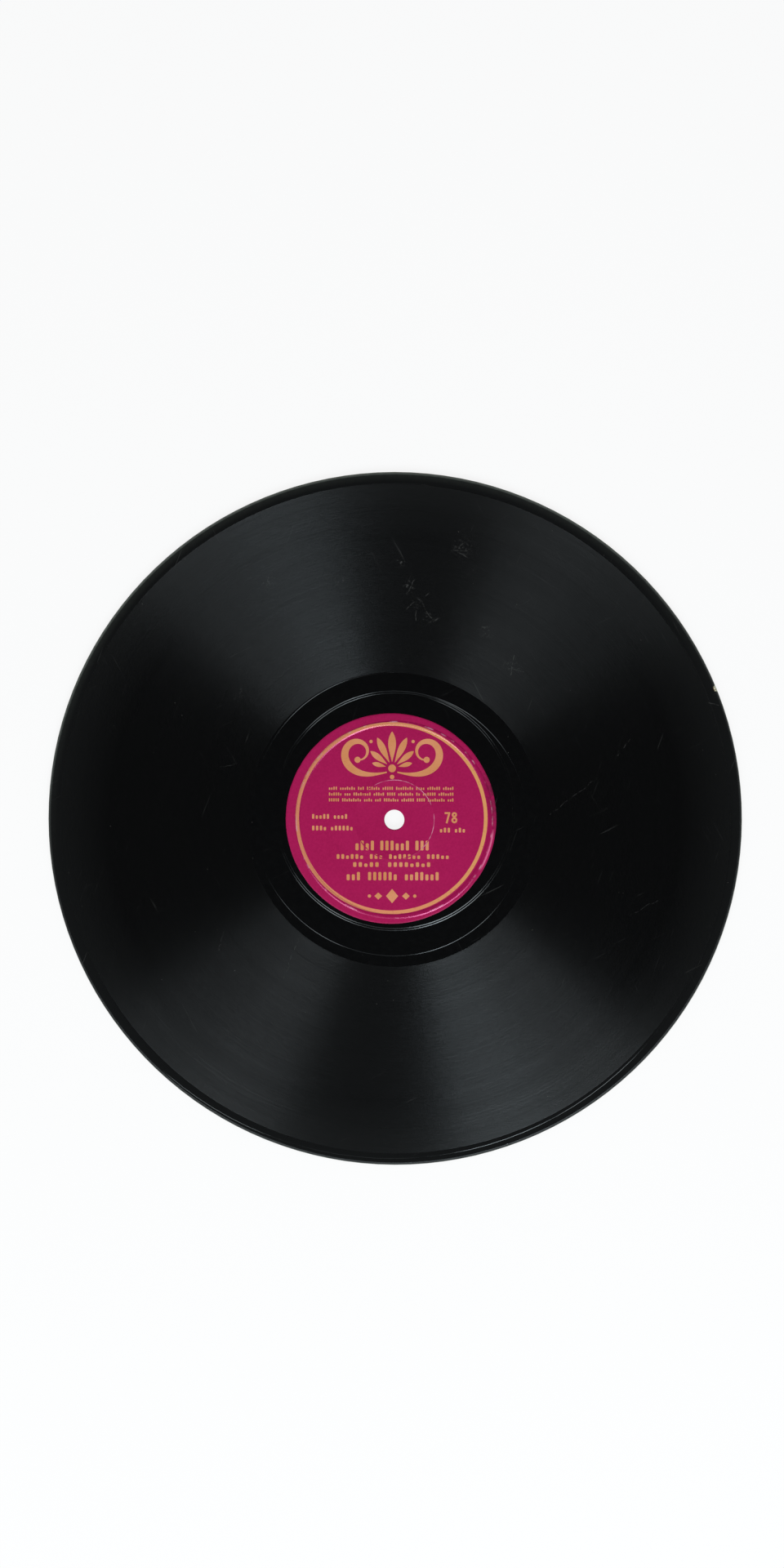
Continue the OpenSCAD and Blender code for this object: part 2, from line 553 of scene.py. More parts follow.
class Material(Nodes):
    """A node material with a Principled shader."""

    def __init__(self, name):
        super().__init__(bpy.data.materials.new(name))
        self.shader = self.tree.nodes["Principled BSDF"]
        self.place = self.node("ShaderNodeTexCoord").outputs["Object"]

    def give(self, **values):
        for name, value in values.items():
            self.set(self.shader.inputs[name.replace("_", " ")], value)

    def mix(self, share, a, b):
        made = self.node("ShaderNodeMix", {0: share}, data_type="RGBA")
        self.set(made.inputs[6], a)
        self.set(made.inputs[7], b)
        return made.outputs[2]

    def noise(self, scale, detail=2.0, rough=0.5, place=None):
        sockets = {"Vector": place or self.place, "Scale": scale, "Detail": detail, "Roughness": rough}
        return self.node("ShaderNodeTexNoise", sockets).outputs[0]

    def patches(self, noise, span):
        return self.remap(self.noise(*noise), *span)

    def noise_1d(self, value, scale, detail):
        sockets = {"W": value, "Scale": scale, "Detail": detail}
        return self.node("ShaderNodeTexNoise", sockets, noise_dimensions="1D").outputs[0]

    def level(self):
        """The place without its height."""
        return self.vector("MULTIPLY", self.place, (1, 1, 0))

    def radius(self):
        """Distance from the spindle axis."""
        return self.measure("LENGTH", self.level())

    def bump(self, height, distance):
        sockets = {"Height": height, "Distance": distance, "Strength": 1.0}
        self.give(Normal=self.node("ShaderNodeBump", sockets).outputs[0])

    def grained(self, grain, colour, rough, relief):
        """A surface whose roughness and relief follow its grain."""
        self.give(Base_Color=colour, Roughness=self.spread(grain, *rough))
        self.bump(grain, relief)
        return self.data

    def stroke(self, start, end, width, waver):
        """From 0 to 1, how near a place is to the line from start to end."""
        a, b = Vector((*start, 0)), Vector((*end, 0))
        along = b - a
        offset = self.vector("SUBTRACT", waver, a)
        share = self.measure("DOT_PRODUCT", offset, along / along.length_squared)
        share = self.maths("MULTIPLY", share, 1.0, clamp=True)
        spread = self.node("ShaderNodeVectorMath", {0: along, "Scale": share}, operation="SCALE").outputs[0]
        return self.remap(self.measure("DISTANCE", offset, spread), width, 0.0)


# A noise is (waves a metre, detail, roughness), a range the first and last value that comes in and, unless
# they are 0 and 1, what these give. Reliefs are in metres.

BLACK = (0.0022, 0.0023, 0.0025, 1)
BLACK_HAZED = (0.0072, 0.0076, 0.0077, 1)
HAZE_FROM = 103.5
SCUFF = (0.08, 0.08, 0.076, 1)
DUST = (0.2, 0.19, 0.17, 1)

# Scratches of side A: angle and radius of each end, width in millimetres and strength
SCRATCHES_A = (
    (51, 66.8, 54, 73.3, 0.16, 0.7), (53, 68.5, 49, 71.0, 0.12, 0.5),
    (80, 74.0, 83, 79.5, 0.14, 0.7), (83, 79.5, 81, 84.0, 0.12, 0.6), (84, 72.5, 84.5, 79.0, 0.13, 0.8),
    (86.5, 76.0, 84.5, 79.5, 0.12, 0.5), (87, 82.0, 85, 87.2, 0.14, 0.6), (79, 73.0, 77.5, 75.0, 0.2, 0.6),
    (74, 100.4, 78, 99.6, 0.12, 0.8), (75.2, 103.0, 78, 99.8, 0.1, 0.6), (74.5, 97.8, 76.4, 99.0, 0.14, 0.6),
    (231, 55.3, 233.5, 63.0, 0.1, 0.6), (233.5, 63.0, 235.5, 70.4, 0.1, 0.5),
    (2, 56.2, 12, 75.1, 0.1, 0.5), (16, 84.0, 19, 90.0, 0.12, 0.5), (213, 74.0, 217, 80.0, 0.1, 0.5),
    (338, 92.0, 343, 99.0, 0.1, 0.4), (160, 60.0, 163, 66.0, 0.1, 0.4), (20.4, 120.5, 19.6, 123.8, 0.2, 0.5),
)
SCRATCH_SPREAD = 1.5

# Scuffed patches of side A: angle, distance from the axis and size in millimetres
SCUFFS_A = (
    (86.6, 84.4, 3.0), (84.0, 78.5, 2.4), (80.3, 73.8, 2.6), (52.7, 70.2, 3.6), (76.0, 101.0, 4.2),
    (88.5, 93.0, 2.6), (64.0, 75.5, 3.4), (103.0, 88.0, 2.8), (118.0, 97.0, 3.4), (141.0, 72.0, 2.6),
)
SCUFF_STRENGTH = 0.75

# Dust and haze, and where the haze lets specks of dust show
DUST_NOISE, HAZE_NOISE, WORN_RANGE = (420.0, 3.0, 0.6), (26.0, 4.0, 0.6), (0.4, 0.7, 0.3, 1.0)

# Hairlines as (direction in radians, waves a metre), and how many times longer than wide they are
HAIRLINES, HAIR_STRETCH = ((0.6, 34.0), (2.2, 27.0), (1.35, 41.0)), 24
HAIR_DETAIL, HAIR_RANGE = (5.0, 0.6), (0.67, 0.75, 0.0, 0.24)

# Scratches and scuffs sway within this many metres. The ones are broken up, the others full of grit.
SWAY, SWAY_SCALE = 0.0022, 240.0
BREAKS = ((800.0, 2.0), (0.42, 0.58))
GRIT = ((1000.0, 3.0, 0.7), (0.55, 0.66, 0.0, SCUFF_STRENGTH))

# Specks as (cells a metre, size in cells), in cells whose random value is over the least one
SPECKS, SPECK_LEAST = ((95.0, 0.022), (230.0, 0.036)), 0.55

# Texture of the recording: arcs, with so many across a radian and a metre, and fine, narrow and broad rings,
# with their heights in millimetres
ARCS_ALONG, ARCS_ACROSS, ARC_NOISE = 17, 1400, (1.0, 3.0, 0.6)
FINE_NOISE, RING_NOISE, SWELL_NOISE = (1500.0, 4.0), (450.0, 3.0), (140.0, 2.0)
ARC_HEIGHT, RING_HEIGHT, SWELL_HEIGHT, FINE_HEIGHT, DUST_HEIGHT = 0.045, 0.032, 0.05, 0.014, 0.006

# Roughness of the recording, with rings of its own and what the fine ones add
BROAD_NOISE, BROAD_SHIFT = (210.0, 3.0), 0.37
BROAD_ROUGH, FINE_ROUGH = (0.365, 0.415), (-0.05, 0.05)

# Roughness of the plain rings inside and outside the recording, what dust adds there and marks anywhere, and
# the plain rings' relief
DEAD_WAX_R, DEAD_WAX_ROUGH = 55.0, 0.2
MARGIN_ROUGH, DUST_ROUGH, MARK_ROUGH = 0.14, (-0.04, 0.04), 0.3
PLAIN_RELIEF, HAZE_SHARE = 0.000008, 2.0

# Specular level of the shellac, and of the stop groove that styli have burnished
SHELLAC_SHINE = 0.5
BURNISHED_SHINE = 0.58

# The pale rim and the margin beside it, with their widths in millimetres, and the roughness of the rubbed
# rim. Their paler colours are a painted reflection on the rim and a painted sheen on the margin. Both are
# strongest in one direction, up to this cosine from it, and least on the far side, and dust thins them.
RIM_PAINTED_SHEEN, RUBBED_AND_SHEEN_RIM_W, RUBBED_ROUGH = (0.12, 0.138, 0.12, 1), 1.1, 0.7
MARGIN_PAINTED_SHEEN, MARGIN_SHEEN_W = (0.0165, 0.018, 0.0165, 1), 3.3
SHEEN_TOWARDS, SHEEN_SIDE, SHEEN_LEAST = 105, 0.8, 0.02
SHEEN_DUST = (0.3, 0.6, 0.7, 1.0)


def shellac(name, seed, scratches, scuffs, grooved=False, shine=SHELLAC_SHINE):
    """Pressed black shellac, with the sheen of the groove where it is grooved, and elsewhere a painted
    reflection on the margin and the rim.
    """
    m = Material(name)
    radius, level = m.radius(), m.level()
    dust, haze = m.noise(*DUST_NOISE), m.noise(*HAZE_NOISE)

    # Hairlines in three directions, and the longer scratches and the scuffs
    marks = 0.0
    for turn, scale in HAIRLINES:
        sockets = {"Vector": m.place, "Rotation": (0, 0, turn + seed), "Scale": (1, 1 / HAIR_STRETCH, 1)}
        place = m.node("ShaderNodeMapping", sockets, vector_type="TEXTURE").outputs[0]
        hair = m.remap(m.noise(scale, *HAIR_DETAIL, place), *HAIR_RANGE, smooth=True)
        marks = m.maths("MAXIMUM", marks, hair)
    sockets = {"Vector": m.place, "Scale": SWAY_SCALE, "Detail": 1.0}
    sway = m.vector("SUBTRACT", m.node("ShaderNodeTexNoise", sockets).outputs["Color"], (0.5, 0.5, 0.5))
    waver = m.vector("ADD", level, m.vector("MULTIPLY", sway, (SWAY, SWAY, 0)))
    broken_up = m.patches(*BREAKS)
    for angle_a, radius_a, angle_b, radius_b, width, strength in scratches:
        start, end = polar(radius_a * MM, angle_a), polar(radius_b * MM, angle_b)
        stroke = m.times(m.stroke(start, end, width * SCRATCH_SPREAD * MM, waver), strength)
        marks = m.maths("MAXIMUM", marks, m.times(stroke, broken_up))
    grit = m.patches(*GRIT)
    for angle, distance, size in scuffs:
        middle = (*polar(distance * MM, angle), 0)
        near = m.remap(m.measure("DISTANCE", waver, middle), size * MM, 0.0)
        marks = m.maths("MAXIMUM", marks, m.times(near, grit))

    # Specks of dust, in some of the cells only
    specks = 0.0
    for scale, size in SPECKS:
        cells = m.node("ShaderNodeTexVoronoi", {"Vector": m.place, "Scale": scale}).outputs
        chosen = m.maths("GREATER_THAN", cells["Color"], SPECK_LEAST)
        specks = m.maths("MAXIMUM", specks, m.times(m.remap(cells["Distance"], size, size / 2), chosen))
    specks = m.times(specks, m.remap(haze, *WORN_RANGE, smooth=True))

    black = m.mix(m.remap(radius, HAZE_FROM * MM, FLAT_R * MM), BLACK, BLACK_HAZED)
    outward = m.vector("NORMALIZE", level)
    if grooved:
        m.give(Anisotropic=1.0, Tangent=outward)
        fine = m.noise_1d(radius, *FINE_NOISE)
        broad = m.noise_1d(m.plus(radius, seed * BROAD_SHIFT), *BROAD_NOISE)
        rough = m.plus(m.spread(fine, *FINE_ROUGH), m.spread(broad, *BROAD_ROUGH))
        along = m.vector("MULTIPLY", outward, (ARCS_ALONG, ARCS_ALONG, 0))
        across = m.node("ShaderNodeCombineXYZ", {"Z": m.times(radius, ARCS_ACROSS)}).outputs[0]
        arcs = m.noise(*ARC_NOISE, m.vector("ADD", along, across))
        rings = m.noise_1d(m.plus(radius, seed), *RING_NOISE)
        swells = m.noise_1d(m.plus(radius, seed * 2), *SWELL_NOISE)
        relief = m.plus(m.times(fine, FINE_HEIGHT), m.times(dust, DUST_HEIGHT))
        for texture, height in ((arcs, ARC_HEIGHT), (rings, RING_HEIGHT), (swells, SWELL_HEIGHT)):
            relief = m.plus(relief, m.times(texture, height))
        m.bump(relief, MM)
    else:
        # Painted reflection: the margin and the rim are paler towards one side, as if they mirrored the
        # light there
        side = m.measure("DOT_PRODUCT", outward, (*polar(1, SHEEN_TOWARDS), 0))
        share = m.remap(side, 0.0, SHEEN_SIDE, SHEEN_LEAST, 1.0, smooth=True)
        share = m.times(share, m.remap(dust, *SHEEN_DUST))
        rubbed_and_sheen_from = (DISC_R - RUBBED_AND_SHEEN_RIM_W) * MM
        margin_sheen = m.remap(radius, (DISC_R - MARGIN_SHEEN_W) * MM, rubbed_and_sheen_from)
        black = m.mix(m.times(margin_sheen, share), black, MARGIN_PAINTED_SHEEN)
        rubbed_and_painted_light = m.remap(radius, rubbed_and_sheen_from, (DISC_R - RUBBED_AND_SHEEN_RIM_W / 3) * MM)
        black = m.mix(m.times(rubbed_and_painted_light, share), black, RIM_PAINTED_SHEEN)
        rough = m.remap(radius, DEAD_WAX_R * MM, BAND_OUTER * MM, DEAD_WAX_ROUGH, MARGIN_ROUGH)
        rubbed_to = (DISC_R - RUBBED_AND_SHEEN_RIM_W / 2) * MM
        rough = m.plus(rough, m.remap(radius, rubbed_and_sheen_from, rubbed_to, 0.0, RUBBED_ROUGH - MARGIN_ROUGH))
        rough = m.plus(rough, m.spread(dust, *DUST_ROUGH))
        m.bump(m.plus(dust, m.times(haze, HAZE_SHARE)), PLAIN_RELIEF)
    colour = m.mix(specks, m.mix(marks, black, SCUFF), DUST)
    rough = m.plus(rough, m.times(marks, MARK_ROUGH))
    m.give(Base_Color=colour, Roughness=rough, Specular_IOR_Level=shine)
    return m.data


# The inside of a chip in the facing
BROKEN_NOISE, BROKEN_RANGE = (2600.0, 4.0, 0.7), (0.35, 0.62)
BROKEN_DARK, BROKEN_PALE = (0.10, 0.09, 0.05, 1), (0.75, 0.70, 0.52, 1)
BROKEN_ROUGH, BROKEN_RELIEF = (0.55, 0.9), 0.0001


def broken_shellac(side):
    m = Material("broken_shellac_" + side)
    grain = m.noise(*BROKEN_NOISE)
    colour = m.mix(m.remap(grain, *BROKEN_RANGE), BROKEN_DARK, BROKEN_PALE)
    return m.grained(grain, colour, BROKEN_ROUGH, BROKEN_RELIEF)


# The core and its specks, and the pale place under the chip, so far inside the rim
CORE_NOISE, CORE_ROUGH, CORE_RELIEF = (1500.0, 5.0, 0.65), (0.45, 0.75), 0.00004
CORE_DARK, CORE_PALE = (0.055, 0.06, 0.048, 1), (0.15, 0.155, 0.125, 1)
CORE_CELLS, CORE_SPECK_RANGE, CORE_SPECK = 1700.0, (0.2, 0.08), (0.32, 0.31, 0.26, 1)
CHIPPED_INSET, CHIPPED_RANGE = 0.3, (0.0014, 0.0011)
CHIPPED_PATCHES = ((2300.0, 3.0, 0.6), (0.4, 0.58))
CHIPPED_DARK, CHIPPED_PALE = (0.16, 0.17, 0.08, 1), (0.82, 0.79, 0.64, 1)


def core_material():
    """Coarse filled shellac with mineral specks, pale where the rim is chipped."""
    m = Material("coarse_core")
    grain = m.noise(*CORE_NOISE)
    colour = m.mix(m.spread(grain), CORE_DARK, CORE_PALE)
    speck = m.node("ShaderNodeTexVoronoi", {"Vector": m.place, "Scale": CORE_CELLS}).outputs["Distance"]
    colour = m.mix(m.remap(speck, *CORE_SPECK_RANGE), colour, CORE_SPECK)
    x, y = polar((DISC_R - CHIPPED_INSET) * MM, CHIP[0])
    apart = m.measure("DISTANCE", m.place, (x, y, FACING_UNDER * MM))
    broken = m.mix(m.patches(*CHIPPED_PATCHES), CHIPPED_DARK, CHIPPED_PALE)
    colour = m.mix(m.remap(apart, *CHIPPED_RANGE), colour, broken)
    return m.grained(grain, colour, CORE_ROUGH, CORE_RELIEF)


# The kraft sheets
KRAFT_NOISE, KRAFT_STRETCH = (1400.0, 5.0, 0.65), (1.0, 3.0, 6.0)
KRAFT_DARK, KRAFT_PALE = (0.33, 0.19, 0.08, 1), (0.52, 0.34, 0.17, 1)
KRAFT_ROUGH, KRAFT_RELIEF = (0.75, 0.95), 0.00004


def kraft_paper():
    m = Material("kraft_paper")
    place = m.node("ShaderNodeMapping", {"Vector": m.place, "Scale": KRAFT_STRETCH}).outputs[0]
    fibre = m.noise(*KRAFT_NOISE, place)
    return m.grained(fibre, m.mix(m.spread(fibre), KRAFT_DARK, KRAFT_PALE), KRAFT_ROUGH, KRAFT_RELIEF)


# Colours and finish of the label's paper and of its gold
MAGENTA = (0.43, 0.0035, 0.085, 1)
MAGENTA_DEEP = (0.36, 0.0025, 0.072, 1)
MAGENTA_PALE = (0.46, 0.005, 0.10, 1)
RUBBED_PAPER = (0.8, 0.4, 0.52, 1)
PAINTED_RIDGE_HIGHLIGHT = (0.95, 0.21, 0.41, 1)
PAPER_SHINE, PAPER_ROUGH = 0.18, (0.36, 0.46)
GOLD = (0.655, 0.25, 0.09, 1)
GOLD_PALE = (0.735, 0.3, 0.14, 1)
RING_GOLD_RIGHT = (0.73, 0.33, 0.115, 1)
RING_GOLD_LEFT = (0.74, 0.268, 0.128, 1)
GOLD_WORN = (0.42, 0.10, 0.08, 1)
GOLD_NOISE, GOLD_ROUGH, GOLD_RELIEF = (1500.0, 3.0, 0.6), (0.4, 0.55), 0.00001
GOLD_CLOUDS, GOLD_WORN_RANGE = (0.35, 0.65), (0.62, 0.72, 0.0, 0.6)

# Fibres, clouds and blotches of the label in its colour and its relief
FIBRE_NOISE, CLOUD_NOISE, BLOTCH_NOISE = (1300.0, 4.0, 0.6), (120.0, 4.0, 0.6), (420.0, 3.0, 0.6)
PALE_CLOUDS, DEEP_BLOTCHES = (0.35, 0.7, 0.0, 0.35), (0.62, 0.75, 0.0, 0.5)
PAPER_RELIEF = 0.0003
FIBRE_RELIEF, RIDGE_FIBRE_RELIEF, CLOUD_RELIEF = 0.08, 0.03, 0.15

# The pressed ridge is shinier than the rest of the paper on its two flanks, given by their nearest and
# furthest distance from its middle
FLANK_MIDDLE = 35.0
FLANK_NEAR, FLANK_FAR = 0.5, 0.9
FLANK_SHINE, FLANK_IOR = 1.0, 1.7
FLANK_TINT = (1.0, 0.3, 0.55, 1)
FLANK_ROUGH = (0.22, 0.26)
FLANK_PATCHES = ((90.0, 1.0), (0.35, 0.65, 0.4, 0.5))

# Rubbed marks of the label, and last a painted highlight on the ridge's outer flank towards one direction,
# as (distance from the axis, half width, limits of the noise that breaks them up, direction, limits of the
# cosine from it that fade them, colour), lengths in millimetres
RUBBED_MARKS_AND_HIGHLIGHT = (
    (RING_R, 0.17, 0.36, 0.56, 30, -0.2, 0.28, RUBBED_PAPER),
    (RIDGE_R + 0.25, 0.34, 0.54, 0.68, 30, -2, -1, RUBBED_PAPER),
    # A painted highlight on the ridge's outer flank, not a rubbed mark
    (RIDGE_R + 0.65, 0.48, 0.2, 0.32, 342, 0.975, 0.988, PAINTED_RIDGE_HIGHLIGHT),
)
LABEL_MARK_NOISE, LABEL_MARK_SHARE = (330.0, 3.0), 0.85

# Dark wear along the edge: its direction, the range of metres that way, and its strength
EDGE_WEAR = (0.10, 0.008, 0.03, 1)
EDGE_WEAR_X, EDGE_WEAR_Y = 0.98, 0.18
EDGE_WEAR_RANGE, EDGE_WEAR_SHARE = (0.0335, 0.0366), 0.75
EDGE_WEAR_PATCHES = ((260.0, 4.0, 0.7), (0.4, 0.6))

# The printed ring in millimetres, about a centre of its own because the print and the punch didn't meet. Its
# edges waver and blur, its gold changes from left to right, and its ink is thin on some fibres.
PRINT_X, PRINT_Y = -1.04, 0.58
PRINT_RING_R = 34.06
PRINT_RING_W = 1.3
PRINT_WAVER, PRINT_BLUR = 0.03, 0.05
RING_GOLD_RANGE, RING_GOLD_UP, RING_GOLD_WAVER = (-0.02, 0.03), 0.35, (-0.008, 0.008)
RING_INK = (0.25, 0.42, 0.55, 1.0)


def label_paper(side, ridge=False):
    """Magenta paper pressed smooth, with its fibres, rubbed marks, a painted highlight on the ridge and the
    printed gold ring.
    """
    mirror = 1 if side == "a" else -1
    m = Material(("label_ridge_" if ridge else "label_paper_") + side)
    radius, level = m.radius(), m.level()
    fibre, cloud, blotch = m.noise(*FIBRE_NOISE), m.noise(*CLOUD_NOISE), m.noise(*BLOTCH_NOISE)
    paper = m.mix(m.spread(fibre), MAGENTA_DEEP, MAGENTA)
    paper = m.mix(m.remap(cloud, *PALE_CLOUDS), paper, MAGENTA_PALE)
    paper = m.mix(m.remap(blotch, *DEEP_BLOTCHES), paper, MAGENTA_DEEP)

    # The ring, thin in places where the ink took badly
    centre = (mirror * PRINT_X * MM, PRINT_Y * MM, 0)
    from_ring = m.apart(m.measure("DISTANCE", level, centre), PRINT_RING_R * MM)
    from_ring = m.plus(from_ring, m.spread(blotch, -PRINT_WAVER * MM, PRINT_WAVER * MM))
    ring = m.remap(from_ring, (PRINT_RING_W / 2 + PRINT_BLUR) * MM, (PRINT_RING_W / 2 - PRINT_BLUR) * MM)
    across = m.measure("DOT_PRODUCT", level, (mirror, RING_GOLD_UP, 0))
    across = m.plus(across, m.spread(cloud, *RING_GOLD_WAVER))
    ink = m.mix(m.remap(across, *RING_GOLD_RANGE), RING_GOLD_LEFT, RING_GOLD_RIGHT)
    colour = m.mix(m.times(ring, m.remap(fibre, *RING_INK)), paper, ink)

    # The rubbed marks with the painted highlight on the ridge, and dark wear along the edge at the right
    outward = m.vector("NORMALIZE", level)
    for middle, half, low, high, angle, none, full, paint in RUBBED_MARKS_AND_HIGHLIGHT:
        near = m.remap(m.apart(radius, middle * MM), half * MM, 0.0)
        x, y = polar(1, angle)
        towards = m.measure("DOT_PRODUCT", outward, (mirror * x, y, 0))
        rubbed_and_painted_light = m.times(near, m.patches(LABEL_MARK_NOISE, (low, high)))
        rubbed_and_painted_light = m.times(rubbed_and_painted_light, m.remap(towards, none, full))
        colour = m.mix(m.times(rubbed_and_painted_light, LABEL_MARK_SHARE), colour, paint)
    beside = m.measure("DOT_PRODUCT", level, (mirror * EDGE_WEAR_X, EDGE_WEAR_Y, 0))
    wear = m.times(m.remap(beside, *EDGE_WEAR_RANGE), m.patches(*EDGE_WEAR_PATCHES))
    colour = m.mix(m.times(wear, EDGE_WEAR_SHARE), colour, EDGE_WEAR)

    m.give(Base_Color=colour, Specular_IOR_Level=PAPER_SHINE)
    rough = m.spread(fibre, *PAPER_ROUGH)
    fibres = m.times(fibre, RIDGE_FIBRE_RELIEF if ridge else FIBRE_RELIEF)
    relief = m.plus(fibres, m.times(cloud, CLOUD_RELIEF))
    if ridge:
        flank = m.remap(m.apart(radius, FLANK_MIDDLE * MM), FLANK_FAR * MM, FLANK_NEAR * MM)
        relief = m.plus(relief, m.times(flank, m.patches(*FLANK_PATCHES)))
        rough = m.spread(cloud, *FLANK_ROUGH)
        m.give(IOR=FLANK_IOR, Specular_IOR_Level=FLANK_SHINE, Specular_Tint=FLANK_TINT)
    m.give(Roughness=rough)
    m.bump(relief, PAPER_RELIEF)
    return m.data


def gold_ink(side):
    m = Material("gold_ink_" + side)
    grain = m.noise(*GOLD_NOISE)
    colour = m.mix(m.patches(CLOUD_NOISE, GOLD_CLOUDS), GOLD, GOLD_PALE)
    colour = m.mix(m.remap(grain, *GOLD_WORN_RANGE), colour, GOLD_WORN)
    m.give(Specular_IOR_Level=PAPER_SHINE)
    return m.grained(grain, colour, GOLD_ROUGH, GOLD_RELIEF)


# The labels

# Ink stands this far above the paper, and each of a few shapes a step above the one before it
INK_T = 0.008
INK_STEP = 0.001
INK_STEPS = 12

# Share of a pressed ring's width that each of its slopes takes
SLOPE = 0.4

# The ragged edge of the label and the dents of its rings as (scale, shift, least noise, strength)
RAGGED_EDGE = ((9, 0, 0, 0.12), (3, 4, 0.25, 0.5))
DENTS = ((14, 8, 0, 0.35), (40, 2, 0, 0.15))

# Parts of a column, share of the rings' height underneath, bevel, and lines that keep the label flat
LABEL_SPLIT, UNDER_SHARE, BEVEL = 2, 0.6, 0.03
EDGE_FLAT, MIDDLE_FLAT, HOLE_FLAT = 0.7, 24, 0.5


def label_height(x, y):
    """Height of the label's surface at a place of side A, in millimetres."""
    radius = hypot(x, y)
    height = SEAT_FLOOR + LABEL_T
    for middle, width, rise in ((RIDGE_R, RIDGE_W, RIDGE_H), (RING_R, RING_W, RING_H)):
        across = abs(radius - middle) / width
        if across < 0.5:
            height += rise * min(1, (0.5 - across) / SLOPE)
    return height


def label_object(side, seed):
    """The paper disc with the two pressed rings, a dented ridge and a slightly ragged edge."""
    top = SEAT_FLOOR + LABEL_T
    shell = Shell()
    step = 360 / COLUMNS
    angles = [[SEAM + step * (i + j / LABEL_SPLIT) for j in range(LABEL_SPLIT)] for i in range(COLUMNS)]

    def rough(angle, noises):
        total = 0
        for scale, shift, least, share in noises:
            x, y = polar(scale, angle)
            total += share * max(0, noise.noise(Vector((x + seed, y, shift))) - least)
        return total

    def edge(inset, height):
        def shape(angle):
            radius = LABEL_R - inset - rough(angle, RAGGED_EDGE)
            return off_centre(angle, radius, LABEL_X, LABEL_Y), height
        return shape

    def ring(radius, height):
        return lambda angle: (radius, top + (height - top) * (1 - rough(angle, DENTS)))

    under = flat_rings(SEAT_FLOOR, UNDER_SHARE)
    ridge = [ring(*place) for place in ring_lines(RIDGE_R, RIDGE_W, RIDGE_H, top)]
    ridge = [flat(FLANK_MIDDLE + FLANK_FAR, top), *ridge, flat(FLANK_MIDDLE - FLANK_FAR, top)]
    fine_ring = [ring(*place) for place in ring_lines(RING_R, RING_W, RING_H, top)]
    outer = [edge(0, SEAT_FLOOR), edge(0, top - BEVEL), edge(BEVEL, top), edge(EDGE_FLAT, top)]
    inner = [(HOLE_R + HOLE_FLAT, top), (HOLE_R + BEVEL, top), (HOLE_R, top - BEVEL), (HOLE_R, SEAT_FLOOR)]
    inner = [flat(*place) for place in inner]
    shapes = [*outer, *ridge, flat(MIDDLE_FLAT, top), *fine_ring, *inner, *under[::-1]]
    sharp = {0, len(shapes) - len(under) - 1}
    lines = [shell.line(shape, i in sharp, angles=angles) for i, shape in enumerate(shapes)]
    for i, (outer_line, inner_line) in enumerate(zip(lines, lines[1:] + lines[:1])):
        on_ridge = len(outer) <= i < len(outer) + len(ridge) - 1
        shell.strip(outer_line, inner_line, 1 if on_ridge else 0)
    return shell.object("label_paper_" + side, [label_paper(side), label_paper(side, ridge=True)], side)


# Marks that stand for letters: heights, cut corners, and place and width in the room of each
MARK_HEIGHTS = (1, 1, 1, 0.72, 0.72)
MARK_CUT, MARK_INSET, MARK_W = 0.22, 0.2, 0.6

# Sides of a dot and of a ring
DOT_SIDES, RING_SIDES = 24, 36


def circle(x, y, radius, sides):
    angles = [2 * pi * i / sides for i in range(sides)]
    return [(x + radius * cos(angle), y + radius * sin(angle)) for angle in angles]


class Print:
    """Ink on a label: flat shapes, in millimetres, that follow the paper's height.

    Each shape lies a hair above the one before it, so that strokes may cross."""

    def __init__(self, side):
        self.side = side
        self.points = []
        self.faces = []
        self.rise = INK_T

    def corners(self, places):
        """Upper and lower corners of one shape. Returns the number of the first."""
        first = len(self.points)
        self.rise = INK_T + (self.rise - INK_T + INK_STEP) % (INK_STEPS * INK_STEP)
        for rise in (self.rise, -INK_T):
            for x, y in places:
                self.points.append((x, y, label_height(x, y) + rise))
        return first

    def outline(self, places):
        """One filled shape with low side walls, from a list of corners in turn about it."""
        area = sum(a[0] * b[1] - b[0] * a[1] for a, b in zip(places, places[1:] + places[:1]))
        if area < 0:
            places = places[::-1]
        first, count = self.corners(places), len(places)
        self.faces.append(list(range(first, first + count)))
        self.faces.append(list(range(first + 2 * count - 1, first + count - 1, -1)))
        for i in range(count):
            j = (i + 1) % count
            self.faces.append([first + j, first + i, first + count + i, first + count + j])

    def ribbon(self, path, width):
        """A stroke along a path. width(share) is its full width from 0 at the start to 1 at the end."""
        left, right = [], []
        for i, (x, y) in enumerate(path):
            before, after = path[max(0, i - 1)], path[min(len(path) - 1, i + 1)]
            dx, dy = after[0] - before[0], after[1] - before[1]
            reach = hypot(dx, dy)
            half = width(i / (len(path) - 1)) / 2
            left.append((x - dy / reach * half, y + dx / reach * half))
            right.append((x + dy / reach * half, y - dx / reach * half))
        first, count = self.corners(left + right), len(path)
        low = 2 * count
        for i in range(count - 1):
            a, b, c, d = first + i, first + i + 1, first + count + i + 1, first + count + i
            self.faces += [[a, d, c, b], [a + low, b + low, c + low, d + low],
                           [a, b, b + low, a + low], [c, d, d + low, c + low]]
        for a, d in ((first, first + count), (first + 2 * count - 1, first + count - 1)):
            self.faces.append([d, a, a + low, d + low])

    def disc(self, x, y, radius):
        self.outline(circle(x, y, radius, DOT_SIDES))

    def ring(self, x, y, radius, width):
        path = circle(x, y, radius, RING_SIDES)
        self.ribbon(path + path[:1], lambda share: width)

    def mark(self, x, y, width, height):
        """An upright mark with cut corners that stands for a letter, with its foot at x, y."""
        cut = width * MARK_CUT
        right, top = x + width, y + height
        self.outline([(x + cut, y), (right - cut, y), (right, y + cut), (right, top - cut),
                      (right - cut, top), (x + cut, top), (x, top - cut), (x, y + cut)])

    def words(self, left, right, y, height, groups, gap, seed):
        """A line of marks in groups like words, from left to right, with its middle at y."""
        draw = random.Random(seed)
        unit = (right - left - gap * (len(groups) - 1)) / sum(groups)
        x = left
        for group in groups:
            for _ in range(group):
                tall = height * draw.choice(MARK_HEIGHTS)
                self.mark(x + unit * MARK_INSET, y - height / 2, unit * MARK_W, tall)
                x += unit
            x += gap

    def object(self):
        name = "label_print_" + self.side
        points = [side_place(self.side, p) for p in self.points]
        mesh = new_mesh(name, points, self.faces, [gold_ink(self.side)])
        mesh.update()
        return add_object(name, mesh)


